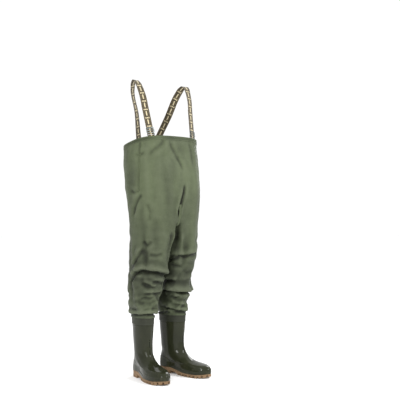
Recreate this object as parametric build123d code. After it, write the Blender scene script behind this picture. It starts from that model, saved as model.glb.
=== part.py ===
from build123d import *
import math
import os

# Chest waders with welded boots, standing as they are worn. Millimetres.
# +Z is up, the front faces -Y, and the wearer's right side is at -X.
# The right half is modelled, and the left half is its mirror image.

# Fabric upper
FABRIC = 2.0
HEM_FRONT_Z = 1205.0
HEM_FRONT_Y = -98.0
HEM_SLOPE = 0.21
HEM_HEIGHT = 26.0
HEM_PROUD = 1.0
BIB_BOTTOM_Z = 930.0
CROTCH_Z = 780.0
THIGH_TOP_Z = 720.0
KNEE_TOP_Z = 600.0
KNEE_BOTTOM_Z = 385.0
FABRIC_BOTTOM_Z = 302.5
BODY_GAP = 0.5
SEAM_Y = -42.0
SEAM_TAPE_WIDTH = 16.0
SEAM_TAPE_BOTTOM = 0.6
SEAM_TAPE_TOP = 2.0
GUSSET_HALF_WIDTH = 60.0

# Torso sections: height, centre y, half width, half depth, squareness
TORSO = [
    (780.0, -2.0, 183.0, 134.0, 2.6),
    (860.0, -1.0, 190.0, 140.0, 2.6),
    (930.0, 4.0, 195.0, 144.0, 2.6),
    (1010.0, 12.0, 197.0, 144.0, 2.6),
    (1110.0, 23.0, 194.0, 139.0, 2.8),
    (1230.0, 29.0, 186.0, 132.0, 3.0),
]

# Right leg sections: height, centre x, centre y, half width, half depth, yaw
LEG = [
    (302.5, -94.3, 48.6, 50.0, 82.0, -10.6),
    (340.0, -94.0, 47.0, 52.0, 82.0, -10.0),
    (385.0, -92.0, 44.0, 62.0, 84.0, -8.0),
    (450.0, -89.0, 38.0, 76.0, 96.0, -5.0),
    (520.0, -88.0, 24.0, 79.0, 100.0, -3.0),
    (600.0, -88.0, 8.0, 83.0, 114.0, 0.0),
    (680.0, -89.0, 0.0, 85.0, 119.0, 0.0),
    (780.0, -90.5, 0.0, 87.5, 118.0, 0.0),
]
LEG_SQUARENESS = 2.2

# Boots, in a frame with the heel's centre at the origin and the toe at -Y
HEEL_X = -88.0
HEEL_Y = 82.0
SPLAY = -10.6
BOOT_TOP_Z = 300.0
BOOT_WALL = 3.2
SOLE_OUTLINE = [
    (0, 35), (-26, 23), (-34, -5), (-37, -67), (-52, -158), (-48, -218),
    (-29, -265), (4, -286), (34, -264), (50, -204), (43, -138), (31, -75),
    (33, -5), (26, 23),
]
OUTLINE_HALF_WIDTH = 52.0
SOLE_BACK_Y = 35.0
SOLE_TIP_Y = -286.0
# Boot sections: height, heel y, toe y, half width, share of an oval
BOOT = [
    (8.0, 33.0, -278.0, 49.0, 0.0),
    (38.0, 37.0, -286.0, 51.5, 0.05),
    (52.0, 39.0, -284.5, 51.0, 0.10),
    (60.0, 39.5, -278.5, 50.0, 0.14),
    (66.0, 39.5, -262.0, 48.5, 0.20),
    (69.0, 39.5, -235.0, 47.5, 0.28),
    (73.0, 39.0, -198.0, 46.0, 0.42),
    (81.0, 38.0, -166.0, 44.5, 0.58),
    (93.0, 36.5, -143.0, 42.5, 0.76),
    (111.0, 34.5, -122.5, 41.0, 0.94),
    (130.0, 33.5, -113.0, 40.5, 1.0),
    (160.0, 34.5, -107.0, 41.0, 1.0),
    (230.0, 42.0, -111.0, 45.0, 1.0),
    (310.0, 46.0, -114.5, 48.0, 1.0),
]
HEEL_SEAT_Z = 34.0
BALL_SEAT_Z = 17.0
TOE_RISE = 9.0
HEEL_BREAST_Y = -38.0
SHANK_Z = 18.0
FOREPART_GROOVES = (-119, -143, -167, -191, -215, -239)
HEEL_GROOVES = (12, -8)
TOE_SLOTS = (-50, -17, 17, 50)
TOE_SLOT_CENTRE = (3, -232)
TOE_SLOT_START = 34
TOE_SLOT_TOP_Z = 19
FOREPART_GROOVE_HALF = 4.5
HEEL_GROOVE_HALF = 3.5
GROOVE_DEPTH = 10.5
SPINE_HALF_WIDTH = 24.0
SOLE_CUT_HEIGHT = 60.0
# The underside of the sole from heel to toe: y, z
SOLE_UNDERSIDE = [
    (60, 0), (HEEL_BREAST_Y, 0), (HEEL_BREAST_Y - 5, SHANK_Z), (-84, 10),
    (-104, 0), (-232, 0), (-310, 14),
]
INSOLE = 4.0
INSOLE_GAP = 0.4
LINING = 1.2
LINING_GAP = 0.2
LINING_BOTTOM_Z = 105.0
LINING_TOP_DROP = 4.0
WELD_BAND_BOTTOM_Z = 270.0
WELD_BAND = 1.6
WELD_BAND_OVERLAP = 2.0
RAND_HEIGHT = 13.0
RAND = 1.6
SKIN_GAP = 0.1

# Suspenders
STRAP_WIDTH = 36.0
STRAP = 1.6
RING_WIRE = 3.0
RING_WIDTH = 43.0
RING_HEIGHT = 11.0
LOOP_TOP = 6.3
LOOP_GAP = 0.25
LOOP_WALL = 1.12
FRONT_RING = Vector(-132.0, -68.0, 1210.0)
BACK_RING = Vector(-45.0, 147.0, 1166.0)
FRONT_RUN = Vector(-18, 44, 195)
BACK_RUN = Vector(-92, -88, 268)
FRONT_YAW = -15.0
BACK_YAW = 8.0
STRAP_TOP = Vector(-158.0, 26.0, 1487.0)
ADJUSTER_WIDTH = 43.0
ADJUSTER_HEIGHT = 26.0
ADJUSTER_WALL = 3.0
ADJUSTER_THICKNESS = 2.0
ADJUSTER_END_WALL = 2.5
ADJUSTER_START = 21.0
ADJUSTER_GAP = 0.7
TAB_WIDTH = 34.0
TAB_DROP = 45.0
TAB_GAP = 0.3
TAB_OVERLAP = 0.2

REACH = 700.0
# Puts the origin midway between the toes and the back of the hem
ORIGIN_SHIFT_Y = 19.0


def point_ring(points):
    """A face inside a smooth closed curve through the points."""
    return make_face(Wire([Spline(*points, periodic=True)]))


def oval(cx, cy, z, half_width, half_depth, squareness, yaw=0.0, count=16):
    """A rounded section whose corners grow squarer as squareness rises above 2."""
    points = []
    turn = math.radians(yaw)
    for i in range(count):
        t = 2 * math.pi * i / count
        x = half_width * math.copysign(abs(math.cos(t)) ** (2 / squareness), math.cos(t))
        y = half_depth * math.copysign(abs(math.sin(t)) ** (2 / squareness), math.sin(t))
        across = x * math.cos(turn) - y * math.sin(turn)
        along = x * math.sin(turn) + y * math.cos(turn)
        points.append((cx + across, cy + along, z))
    return point_ring(points)


def side_prism(outline, low_x=-REACH, high_x=REACH):
    """A prism along X whose outline is given as (y, z) points."""
    points = [(low_x, y, z) for y, z in outline]
    face = make_face(Polyline(*points, close=True))
    return extrude(face, amount=high_x - low_x, dir=(1, 0, 0))


def between(low, high):
    """The space between two heights."""
    return side_prism([(-REACH, low), (REACH, low), (REACH, high), (-REACH, high)])


def block(low, high):
    """A block between two corners."""
    size = [high[i] - low[i] for i in range(3)]
    middle = [(high[i] + low[i]) / 2 for i in range(3)]
    return Pos(*middle) * Box(*size)


def hem_z(y):
    """The height of the hem, which is highest at the front."""
    return HEM_FRONT_Z - HEM_SLOPE * (y - HEM_FRONT_Y)


def below_hem(drop):
    """The space below the plane that lies drop under the hem."""
    outline = [
        (-REACH, 0),
        (REACH, 0),
        (REACH, hem_z(REACH) - drop),
        (-REACH, hem_z(-REACH) - drop),
    ]
    return side_prism(outline)


# ---- fabric ----

def torso_form(grow=0.0, bottom=CROTCH_Z):
    faces = []
    for z, cy, half_width, half_depth, squareness in TORSO:
        height = max(z, bottom)
        faces.append(oval(0, cy, height, half_width + grow, half_depth + grow, squareness))
    return loft(faces, ruled=True)


def leg_form(grow=0.0, top_grow=0.0):
    faces = []
    for z, cx, cy, half_width, half_depth, yaw in LEG:
        height = z + top_grow if z == CROTCH_Z else z
        half_width += grow
        half_depth += grow
        faces.append(oval(cx, cy, height, half_width, half_depth, LEG_SQUARENESS, yaw))
    return loft(faces, ruled=True)


def hip_shell():
    """The seat and the tops of both legs, in one piece before it is cut."""
    right = leg_form()
    right_inside = leg_form(-FABRIC, 6.0)
    outside = torso_form() + right + mirror(right, about=Plane.YZ)
    inside = torso_form(-FABRIC, CROTCH_Z + FABRIC)
    inside = inside + right_inside + mirror(right_inside, about=Plane.YZ)
    zone = between(THIGH_TOP_Z, BIB_BOTTOM_Z)
    return (outside & zone) - inside


def fabric_nodes():
    nodes = {}
    shell = torso_form() - torso_form(-FABRIC)
    bib = (shell & between(BIB_BOTTOM_Z, REACH * 2)) & below_hem(HEM_HEIGHT)
    front = block((-REACH, -REACH, 0), (REACH, SEAM_Y, REACH * 2))
    nodes["bib_front_panel"] = bib & front
    nodes["bib_back_panel"] = bib - front

    hem = torso_form(HEM_PROUD) - torso_form(-FABRIC - HEM_PROUD)
    nodes["hem_band"] = (hem & below_hem(0)) - below_hem(HEM_HEIGHT)

    tape = torso_form(SEAM_TAPE_TOP) - torso_form(SEAM_TAPE_BOTTOM)
    half = SEAM_TAPE_WIDTH / 2
    strip = block((-REACH, SEAM_Y - half, BIB_BOTTOM_Z), (0, SEAM_Y + half, REACH * 2))
    tape = tape & strip & below_hem(HEM_HEIGHT + HEM_PROUD)
    nodes["right_side_seam"] = tape

    hip = hip_shell()
    width = GUSSET_HALF_WIDTH
    gusset_space = block((-width, -REACH, CROTCH_Z), (width, REACH, CROTCH_Z + FABRIC))
    nodes["crotch_gusset"] = hip & gusset_space
    seat = hip - gusset_space
    right_side = block((-REACH, -REACH, 0), (0, REACH, REACH * 2))
    nodes["right_hip_panel"] = seat & right_side

    leg = leg_form() - leg_form(-FABRIC)
    nodes["right_thigh_panel"] = leg & between(KNEE_TOP_Z, THIGH_TOP_Z - BODY_GAP)
    nodes["right_knee_panel"] = leg & between(KNEE_BOTTOM_Z + BODY_GAP, KNEE_TOP_Z)
    nodes["right_shin_panel"] = leg & between(FABRIC_BOTTOM_Z, KNEE_BOTTOM_Z)
    return nodes


# ---- boots ----

def boot_section(z, heel_y, toe_y, half_width, roundness, grow):
    """One level slice of the boot: the sole's outline low down, an oval at the shaft."""
    points = []
    heel_y += grow
    toe_y -= grow
    half_width += grow
    middle = (heel_y + toe_y) / 2
    half_length = (heel_y - toe_y) / 2
    for x, y in SOLE_OUTLINE:
        from_back = (y - SOLE_BACK_Y) / (SOLE_BACK_Y - SOLE_TIP_Y)
        along = heel_y + from_back * (heel_y - toe_y)
        foot_x = x / OUTLINE_HALF_WIDTH * half_width
        share = min(1.0, abs(along - middle) / half_length)
        oval_x = math.copysign(half_width * math.sqrt(1 - share * share), x)
        across = (1 - roundness) * foot_x + roundness * oval_x
        if y in (SOLE_BACK_Y, SOLE_TIP_Y):
            across = foot_x * (1 - roundness)
        points.append((across, along, z))
    return point_ring(points)


def boot_form(grow=0.0):
    return loft([boot_section(*section, grow) for section in BOOT], ruled=True)


def above_seat(rise):
    """The space above the surface that the boot's upper stands on, raised by rise."""
    outline = [
        (60, HEEL_SEAT_Z + rise),
        (-48, HEEL_SEAT_Z + rise),
        (-136, BALL_SEAT_Z + rise),
        (-228, BALL_SEAT_Z + rise),
        (-310, BALL_SEAT_Z + TOE_RISE + rise),
        (-310, REACH),
        (60, REACH),
    ]
    return side_prism(outline)


def outsole():
    """Heel block, shank and cleated forepart in one moulding."""
    plan = [(x, y, 0) for x, y in SOLE_OUTLINE]
    slab = extrude(point_ring(plan), amount=SOLE_CUT_HEIGHT, dir=(0, 0, 1))
    profile = SOLE_UNDERSIDE + [(-310, SOLE_CUT_HEIGHT), (60, SOLE_CUT_HEIGHT)]
    sole = slab & side_prism(profile)
    sole = sole - above_seat(0)
    grooves = [(y, FOREPART_GROOVE_HALF) for y in FOREPART_GROOVES]
    grooves += [(y, HEEL_GROOVE_HALF) for y in HEEL_GROOVES]
    for y, half in grooves:
        for inner, outer in ((SPINE_HALF_WIDTH, REACH), (-REACH, -SPINE_HALF_WIDTH)):
            sole = sole - block((inner, y - half, -1), (outer, y + half, GROOVE_DEPTH))
    slot_half = FOREPART_GROOVE_HALF
    slot = block((-slot_half, -REACH, -1), (slot_half, -TOE_SLOT_START, TOE_SLOT_TOP_Z))
    for turn in TOE_SLOTS:
        sole = sole - Pos(*TOE_SLOT_CENTRE, 0) * Rot(0, 0, turn) * slot
    return sole


def boot_nodes():
    nodes = {}
    outside = boot_form()
    inside = boot_form(-BOOT_WALL)
    shaft_top = between(0, BOOT_TOP_Z)
    shell = (outside & above_seat(0) & shaft_top) - (inside & above_seat(BOOT_WALL))
    nodes["boot_shell"] = shell
    nodes["outsole"] = outsole()

    seat = boot_form(-BOOT_WALL - INSOLE_GAP) & above_seat(BOOT_WALL)
    nodes["insole"] = seat - above_seat(BOOT_WALL + INSOLE)

    lining_outside = -BOOT_WALL - LINING_GAP
    sock = boot_form(lining_outside) - boot_form(lining_outside - LINING)
    nodes["lining"] = sock & between(LINING_BOTTOM_Z, BOOT_TOP_Z - LINING_TOP_DROP)

    rand = boot_form(RAND) - boot_form(SKIN_GAP)
    nodes["rand"] = (rand & above_seat(0)) - above_seat(RAND_HEIGHT)

    band = boot_form(WELD_BAND) - boot_form(SKIN_GAP)
    nodes["weld_band"] = band & between(WELD_BAND_BOTTOM_Z, BOOT_TOP_Z + WELD_BAND_OVERLAP)
    place = Pos(HEEL_X, HEEL_Y, 0) * Rot(0, 0, SPLAY)
    return {"right_" + name: place * solid for name, solid in nodes.items()}


# ---- suspenders ----

def frame_at(place, up, width_yaw):
    """A plane at place whose Y runs up the strap and whose Z faces out of it."""
    yaw = math.radians(width_yaw)
    across = Vector(math.cos(yaw), math.sin(yaw), 0)
    up = up.normalized()
    across = (across - up * across.dot(up)).normalized()
    return Plane(origin=place, x_dir=across, z_dir=across.cross(up))


def strap_sections():
    """Places along the strap with the way it runs and the yaw of its width."""
    return [
        (FRONT_RING + FRONT_RUN.normalized() * LOOP_TOP, FRONT_RUN, FRONT_YAW),
        (FRONT_RING + FRONT_RUN, FRONT_RUN, FRONT_YAW),
        (Vector(-154.5, -5, 1450), Vector(-3, 18, 34), -6),
        (Vector(-157.5, 11, 1477), Vector(-1, 20, 14), 4),
        (STRAP_TOP, Vector(3, 20, -1), 12),
        (Vector(-154, 48, 1476), Vector(7, 18, -15), 20),
        (Vector(-146, 66, 1450), Vector(12, 12, -30), 25),
        (BACK_RING + BACK_RUN * 0.6, -BACK_RUN, 22),
        (BACK_RING + BACK_RUN.normalized() * LOOP_TOP, -BACK_RUN, BACK_YAW),
    ]


def strap_face(place, run, yaw):
    """The webbing's cross-section, square to the way the strap runs."""
    angle = math.radians(yaw)
    run = run.normalized()
    across = Vector(math.cos(angle), math.sin(angle), 0)
    across = (across - run * across.dot(run)).normalized()
    plane = Plane(origin=place, x_dir=across, z_dir=run)
    return plane * Rectangle(STRAP_WIDTH, STRAP)


def ring(place, up, yaw):
    """A rectangular wire loop."""
    plane = frame_at(place, up, yaw)
    inside = Rectangle(RING_WIDTH - 2 * RING_WIRE, RING_HEIGHT - 2 * RING_WIRE)
    wire = Rectangle(RING_WIDTH, RING_HEIGHT) - inside
    return plane * Pos(0, 0, -RING_WIRE / 2) * extrude(wire, amount=RING_WIRE)


def strap_loop(place, up, yaw):
    """The folded end of the webbing round the ring's upper bar."""
    plane = frame_at(place, up, yaw)
    bar = (RING_HEIGHT - RING_WIRE) / 2
    half = RING_WIRE / 2 + LOOP_GAP
    outer = half + LOOP_WALL
    tube = Box(STRAP_WIDTH - 2, 2 * outer, 2 * outer) - Box(STRAP_WIDTH, 2 * half, 2 * half)
    return plane * Pos(0, bar, 0) * tube


def tab(place, up, yaw, down):
    """A webbing tab: round the ring's lower bar and down inside the bib."""
    plane = frame_at(place, up, yaw)
    bar = -(RING_HEIGHT - RING_WIRE) / 2
    half = RING_WIRE / 2 + TAB_GAP
    outer = half + LOOP_WALL
    loop = Box(TAB_WIDTH, 2 * outer, 2 * outer) - Box(TAB_WIDTH + 2, 2 * half, 2 * half)
    loop = plane * Pos(0, bar, 0) * loop
    across = plane.x_dir * (TAB_WIDTH / 2)
    thick = plane.z_dir * STRAP / 2
    start = plane.from_local_coords((0, bar - outer + TAB_OVERLAP, 0))
    end = start + down
    corners = []
    for middle in (start, end):
        row = [middle - across - thick, middle + across - thick]
        row += [middle + across + thick, middle - across + thick]
        corners.append(make_face(Polyline(*row, close=True)))
    return loop + loft(corners, ruled=True)


def adjuster(place, up, yaw):
    """A slide with two slots and a middle bar."""
    plane = frame_at(place, up, yaw)
    height = ADJUSTER_HEIGHT
    wall = ADJUSTER_WALL
    slot_height = (height - 3 * wall) / 2
    body = RectangleRounded(ADJUSTER_WIDTH, height, 3)
    for side in (-1, 1):
        offset = side * (slot_height + wall) / 2
        slot = Rectangle(ADJUSTER_WIDTH - 2 * ADJUSTER_END_WALL, slot_height)
        body = body - Pos(0, offset) * slot
    plate = extrude(body, amount=ADJUSTER_THICKNESS)
    return plane * Pos(0, 0, STRAP / 2 + ADJUSTER_GAP) * plate


def brace_nodes():
    nodes = {}
    sections = strap_sections()
    webbing = loft([strap_face(*section) for section in sections], ruled=True)
    webbing = webbing + strap_loop(FRONT_RING, FRONT_RUN, FRONT_YAW)
    webbing = webbing + strap_loop(BACK_RING, BACK_RUN, 180 + BACK_YAW)
    nodes["strap"] = webbing
    slide_place = FRONT_RING + FRONT_RUN.normalized() * ADJUSTER_START
    nodes["adjuster"] = adjuster(slide_place, FRONT_RUN, FRONT_YAW)
    nodes["front_ring"] = ring(FRONT_RING, FRONT_RUN, FRONT_YAW)
    nodes["back_ring"] = ring(BACK_RING, BACK_RUN, 180 + BACK_YAW)
    nodes["front_tab"] = tab(FRONT_RING, FRONT_RUN, FRONT_YAW, Vector(2, 0, -TAB_DROP))
    nodes["back_tab"] = tab(BACK_RING, BACK_RUN, 180 + BACK_YAW, Vector(4, 3, -TAB_DROP))
    return {"right_" + name: solid for name, solid in nodes.items()}


# ---- output ----

def main():
    os.makedirs("parts", exist_ok=True)
    nodes = fabric_nodes()
    nodes.update(boot_nodes())
    nodes.update(brace_nodes())
    for name in list(nodes):
        if name.startswith("right_"):
            left = name.replace("right_", "left_", 1)
            nodes[left] = mirror(nodes[name], about=Plane.YZ)
    for name, shape in nodes.items():
        export_step(Pos(0, ORIGIN_SHIFT_Y, 0) * shape, "parts/" + name + ".step")


main()
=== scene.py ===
import math
import bmesh
import bpy
import numpy as np
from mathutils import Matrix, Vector, noise
from mathutils.bvhtree import BVHTree


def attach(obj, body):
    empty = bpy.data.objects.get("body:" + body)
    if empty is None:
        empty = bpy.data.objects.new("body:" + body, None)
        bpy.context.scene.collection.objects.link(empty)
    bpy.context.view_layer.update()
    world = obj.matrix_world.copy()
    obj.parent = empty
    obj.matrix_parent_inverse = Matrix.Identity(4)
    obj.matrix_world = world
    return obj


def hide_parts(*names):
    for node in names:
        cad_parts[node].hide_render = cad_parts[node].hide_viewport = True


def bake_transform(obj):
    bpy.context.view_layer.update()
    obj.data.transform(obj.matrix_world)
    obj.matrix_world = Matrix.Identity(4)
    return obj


# Chest waders, in metres. +Z is up, the front faces -Y, the wearer's right is at -X.

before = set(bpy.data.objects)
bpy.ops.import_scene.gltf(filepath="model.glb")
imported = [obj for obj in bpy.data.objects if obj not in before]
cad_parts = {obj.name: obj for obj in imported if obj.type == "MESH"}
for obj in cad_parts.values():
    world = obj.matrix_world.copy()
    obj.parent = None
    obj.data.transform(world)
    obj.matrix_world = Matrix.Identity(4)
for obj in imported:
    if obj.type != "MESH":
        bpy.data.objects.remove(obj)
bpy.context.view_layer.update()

SHIFT_Y = 0.019
HEM_FRONT_Z = 1.205
HEM_FRONT_Y = -0.098 + SHIFT_Y
HEM_Z = 1.2
HEM_SLOPE = 0.21
HEM_HEIGHT = 0.026
BIB_BOTTOM_Z = 0.93
CROTCH_Z = 0.79
LEG_SPLIT_Z = 0.60
FABRIC_BOTTOM_Z = 0.3035
SEAM_Y = -0.042 + SHIFT_Y
CLOTH = 0.0011
HEM_THICKNESS = CLOTH * 2.4
HEM_OUTWARD = 0.0008
SEAM_WIDTH = 0.013
CROTCH_TAPE_WIDTH = 0.016
TAPE_THICKNESS = 0.0012
TAPE_LIFT = 0.0004

# Torso: height, centre y, half width, half depth, squareness
TORSO = [
    (0.760, -0.002, 0.179, 0.131, 2.4),
    (0.860, -0.001, 0.188, 0.138, 2.5),
    (0.930, 0.004, 0.193, 0.142, 2.6),
    (1.010, 0.012, 0.195, 0.142, 2.6),
    (1.110, 0.023, 0.192, 0.137, 2.8),
    (1.230, 0.029, 0.185, 0.131, 3.0),
]
# Right leg: height, centre x, centre y, half width, half depth, yaw in degrees
LEG = [
    (0.300, -0.0943, 0.0486, 0.0495, 0.0815, -10.6),
    (0.318, -0.0943, 0.0482, 0.0500, 0.0820, -10.6),
    (0.328, -0.0941, 0.0478, 0.0550, 0.0855, -10.4),
    (0.345, -0.0938, 0.0470, 0.0590, 0.0880, -10.0),
    (0.385, -0.0920, 0.0440, 0.0650, 0.0900, -8.0),
    (0.450, -0.0890, 0.0380, 0.0770, 0.0965, -5.0),
    (0.520, -0.0880, 0.0240, 0.0790, 0.1000, -3.0),
    (0.600, -0.0880, 0.0080, 0.0830, 0.1130, 0.0),
    (0.680, -0.0890, 0.0000, 0.0850, 0.1180, 0.0),
    (0.800, -0.0905, 0.0000, 0.0870, 0.1180, 0.0),
]
LEG_SQUARENESS = 2.15
LEG_MIDDLE_X = 0.088
LEG_BLEND = 0.21
TORSO_REACH = 0.17
LEG_REACH = 0.09

# The sheet's quads: half a torso ring, the seam under the body, then rows from the hem down
HALF_COUNT = 48
CROTCH_COUNT = 20
HEM_ROWS = 2
BIB_ROWS = 26
HIP_ROWS = 13
LEG_ROWS = 48
HELD_ANKLE_ROWS = 2
RING_LENGTH = 1.06
CROTCH_LENGTH = 0.26

# Boots, in a frame with the heel's centre at the origin and the toe at -Y
HEEL_X = -0.088
HEEL_Y = 0.082 + SHIFT_Y
SPLAY = math.radians(-10.6)
OUTLINE_HALF_WIDTH = 0.052
SOLE_OUTLINE = [
    (0, 35), (-26, 23), (-34, -5), (-37, -67), (-52, -158), (-48, -218),
    (-29, -265), (4, -286), (34, -264), (50, -204), (43, -138), (31, -75),
    (33, -5), (26, 23),
]
OUTLINE_STEPS = 60
SOLE_BACK = 0.035
SOLE_LENGTH = 0.321
HEEL_SEAT_Z = 0.034
BALL_SEAT_Z = 0.017
TOE_RISE = 0.009
RAND_HEIGHT = 0.013
RAND_TOE_RISE = 0.006
# Boot: height, heel y, toe y, half width, share of an oval
BOOT = [
    (0.008, 0.0330, -0.2780, 0.0490, 0.0),
    (0.038, 0.0370, -0.2860, 0.0515, 0.05),
    (0.049, 0.0390, -0.2825, 0.0510, 0.10),
    (0.056, 0.0395, -0.2750, 0.0500, 0.14),
    (0.062, 0.0395, -0.2600, 0.0485, 0.20),
    (0.066, 0.0395, -0.2320, 0.0475, 0.28),
    (0.072, 0.0390, -0.1970, 0.0460, 0.42),
    (0.081, 0.0380, -0.1660, 0.0445, 0.58),
    (0.093, 0.0365, -0.1430, 0.0425, 0.76),
    (0.111, 0.0345, -0.1225, 0.0410, 0.94),
    (0.130, 0.0335, -0.1130, 0.0405, 1.0),
    (0.160, 0.0345, -0.1070, 0.0410, 1.0),
    (0.230, 0.0420, -0.1110, 0.0450, 1.0),
    (0.310, 0.0460, -0.1145, 0.0480, 1.0),
]
BOOT_COLUMNS = 128
BOOT_WALL = 0.0030
BOOT_LOW_Z = 0.02
BOOT_TOP_Z = 0.300
COVER_WALL = 0.0016
LINING_WALL = 0.0012
INSOLE_WALL = 0.0036
INSOLE_LIFT = 0.0072
WELT_RADIUS = 0.0019
WELT_DROP = 0.0024

# Suspenders
STRAP_WIDTH = 0.036
STRAP = 0.0015
LOOP_WIDTH = STRAP_WIDTH - 0.001
TAIL_LIFT = -0.0018
TAIL_PLACES = (0.008, 0.05, 0.10, 0.15)
FRONT_RING = Vector((-0.132, -0.068 + SHIFT_Y, 1.210))
BACK_RING = Vector((-0.045, 0.147 + SHIFT_Y, 1.166))
FRONT_YAW = -15.0
BACK_YAW = 8.0
FRONT_RUN = Vector((-0.018, 0.044, 0.195))
BACK_RUN = Vector((-0.092, -0.088, 0.268))
STRAP_START = 0.0070
RING_WIDTH = 0.043
RING_HEIGHT = 0.011
RING_WIRE = 0.0015
RING_CORNER = 0.0028
FOLD_RADIUS = 0.0024
LOOP_REACH = 0.008
TAB_REACH = 0.010
TAB_WIDTH = 0.034
TAB_DROP = Vector((0.003, 0.001, -0.045))
TAB_STEPS = 8

SIDES = (("right", 1.0), ("left", -1.0))


# ---- shapes shared by the pieces ----

def at_height(table, z):
    """The sizes at height z, on a smooth curve through the table's rows."""
    rows = np.array(table)
    heights, values = rows[:, 0], rows[:, 1:]
    z = np.clip(z, heights[0], heights[-1])
    k = np.clip(np.searchsorted(heights, z) - 1, 0, len(heights) - 2)
    slope = np.gradient(values, heights, axis=0)
    step = heights[k + 1] - heights[k]
    s = (z - heights[k]) / step
    s, step = np.expand_dims(s, -1), np.expand_dims(step, -1)
    start = (1 + 2 * s) * (1 - s) ** 2 * values[k] + s * (1 - s) ** 2 * step * slope[k]
    end = s * s * (3 - 2 * s) * values[k + 1] + s * s * (s - 1) * step * slope[k + 1]
    return start + end


def smoothstep(low, high, value):
    t = np.clip((value - low) / (high - low), 0, 1)
    return t * t * (3 - 2 * t)


def bump_at(value, middle, width):
    """A smooth bump, 1 high at the middle."""
    return np.exp(-((value - middle) / width) ** 2)


def length_along(line):
    """The distance along a line of points, at each point."""
    return np.concatenate([[0], np.cumsum(np.linalg.norm(np.diff(line, axis=0), axis=1))])


def sample(line, along, at):
    """The points of a line at given distances along it."""
    return np.stack([np.interp(at, along, line[:, k]) for k in range(line.shape[1])], 1)


def oval_line(half_width, half_depth, squareness, start, end):
    """A dense line along an oval and the distance along it. Angle 0 is the front."""
    t = np.linspace(start, end, 721)
    x = -half_width * np.sign(np.sin(t)) * np.abs(np.sin(t)) ** (2 / squareness)
    y = -half_depth * np.sign(np.cos(t)) * np.abs(np.cos(t)) ** (2 / squareness)
    line = np.stack([x, y], 1)
    return line, length_along(line)


def hem_z(y):
    """The hem's height, which falls from the front to the back."""
    return HEM_FRONT_Z - HEM_SLOPE * (y - HEM_FRONT_Y)


def level(z):
    """An edge at the same height all round."""
    return lambda y: z


def grid_faces(rows, columns, closed=False):
    """Quads between rings of points; closed joins the last ring to the first."""
    faces = []
    for r in range(rows if closed else rows - 1):
        after = (r + 1) % rows * columns
        for j in range(columns):
            k = (j + 1) % columns
            faces.append((r * columns + j, after + j, after + k, r * columns + k))
    return faces


def make_object(name, verts, faces, uvs=None, normals=None):
    """A smooth-shaded mesh object; uvs and normals are given for each corner of each face."""
    mesh = bpy.data.meshes.new(name)
    mesh.from_pydata([tuple(v) for v in verts], [], [tuple(f) for f in faces])
    mesh.update()
    if uvs is not None:
        layer = mesh.uv_layers.new(name="UVMap")
        layer.data.foreach_set("uv", np.asarray(uvs, float).ravel())
    mesh.polygons.foreach_set("use_smooth", [True] * len(faces))
    if normals is not None:
        mesh.normals_split_custom_set([tuple(n) for n in normals])
    return linked(name, mesh)


def linked(name, data):
    """A new object in the scene for a mesh, a camera or a lamp."""
    piece = bpy.data.objects.new(name, data)
    bpy.context.collection.objects.link(piece)
    return piece


def looking(piece, place, aim):
    """Puts a camera or a lamp at a place and turns it towards the aim."""
    piece.location = place
    piece.rotation_euler = (Vector(aim) - Vector(place)).to_track_quat("-Z", "Y").to_euler()


def tube(centres, outs, ups, sides):
    """The points and faces of a closed tube; outs and ups are its section's half axes."""
    angle = np.arange(sides)[:, None] * math.tau / sides
    centres, outs, ups = (np.array(part)[:, None] for part in (centres, outs, ups))
    verts = centres + outs * np.cos(angle) + ups * np.sin(angle)
    return verts.reshape(-1, 3), grid_faces(len(centres), sides, closed=True)


def fix_normals(piece):
    """Turns the faces of a closed piece outwards."""
    form = bmesh.new()
    form.from_mesh(piece.data)
    bmesh.ops.recalc_face_normals(form, faces=form.faces)
    form.to_mesh(piece.data)
    form.free()


def quad_edges(faces):
    return np.concatenate([faces[:, [k, (k + 1) % 4]] for k in range(4)])


def vertex_normals(verts, faces):
    """Smooth normals from quads."""
    total = np.zeros_like(verts)
    faces = np.asarray(faces)
    a, b, c, d = (verts[faces[:, k]] for k in range(4))
    cross = np.cross(c - a, d - b)
    for k in range(4):
        np.add.at(total, faces[:, k], cross)
    return total / np.maximum(np.linalg.norm(total, axis=1, keepdims=True), 1e-12)


def facing(verts, faces, way):
    """The faces and their normals, turned over if they point against the way."""
    faces = np.array(faces)
    normals = vertex_normals(verts, faces)
    if (normals * way).sum() < 0:
        return faces[:, ::-1], -normals
    return faces, normals


def smoothed(verts, faces, weight, rounds):
    """Moves each vertex towards the middle of its neighbours, as far as its weight says."""
    pairs = np.unique(np.sort(quad_edges(np.asarray(faces)), axis=1), axis=0)
    count = np.zeros(len(verts))
    np.add.at(count, pairs.ravel(), 1)
    verts = verts.copy()
    for _ in range(rounds):
        total = np.zeros_like(verts)
        np.add.at(total, pairs[:, 0], verts[pairs[:, 1]])
        np.add.at(total, pairs[:, 1], verts[pairs[:, 0]])
        middle = total / np.maximum(count, 1)[:, None]
        verts += (middle - verts) * weight[:, None]
    return verts


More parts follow.
